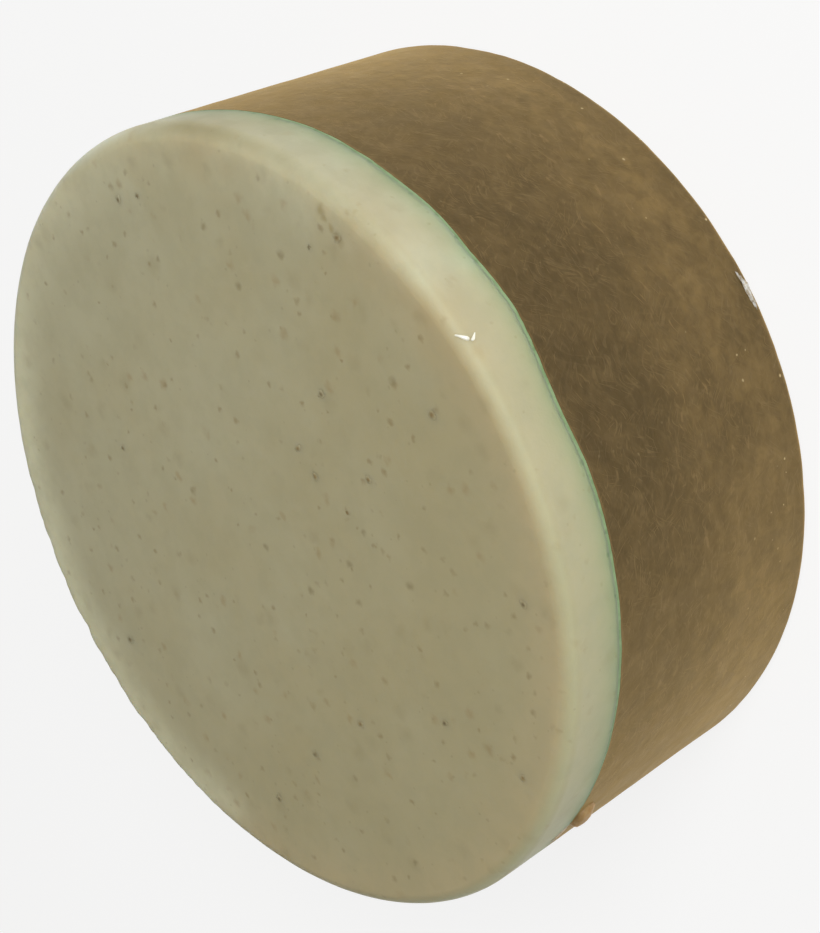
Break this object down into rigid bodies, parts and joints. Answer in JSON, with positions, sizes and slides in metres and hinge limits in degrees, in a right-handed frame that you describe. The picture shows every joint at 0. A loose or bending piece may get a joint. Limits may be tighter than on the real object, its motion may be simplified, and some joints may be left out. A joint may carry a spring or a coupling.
{
  "type": "shaving soap puck",
  "caption": "Round layered shaving soap puck: a speckled cream lather face fused to a translucent amber glycerine base, made to sit in a mug under a wet brush.",
  "frame": {"origin": "centre of the flat amber base that the puck rests on", "axes": "+Z along the puck's axis, from the amber base up through the cream lather face; -Y towards the side with the rim crumb"},
  "size_m": [0.07, 0.0708, 0.03],
  "materials": {
    "cream_soap": "opaque cream soap, satin",
    "bleed_soap": "green-tinted fused soap, satin",
    "amber_soap": "translucent fibrous amber glycerine soap, waxy",
    "herb_fleck": "dried leaf, matt",
    "oat_fleck": "ground oat husk, matt",
    "soap_crumb": "dry soap crumb, matt"
  },
  "bodies": {
    "root": {"amber_base": "amber_soap", "bleed_film": "bleed_soap", "cream_cap": "cream_soap", "seam_bead": "amber_soap", "rim_crumb": "soap_crumb", "herb_fleck_01": "herb_fleck", "herb_fleck_02": "herb_fleck", "herb_fleck_03": "herb_fleck", "herb_fleck_04": "herb_fleck", "herb_fleck_05": "herb_fleck", "herb_fleck_06": "herb_fleck", "herb_fleck_07": "herb_fleck", "herb_fleck_08": "herb_fleck", "herb_fleck_09": "herb_fleck", "herb_fleck_10": "herb_fleck", "oat_fleck_01": "oat_fleck", "oat_fleck_02": "oat_fleck", "oat_fleck_03": "oat_fleck", "oat_fleck_04": "oat_fleck", "oat_fleck_05": "oat_fleck", "oat_fleck_06": "oat_fleck", "oat_fleck_07": "oat_fleck", "oat_fleck_08": "oat_fleck"}
  },
  "joints": []
}
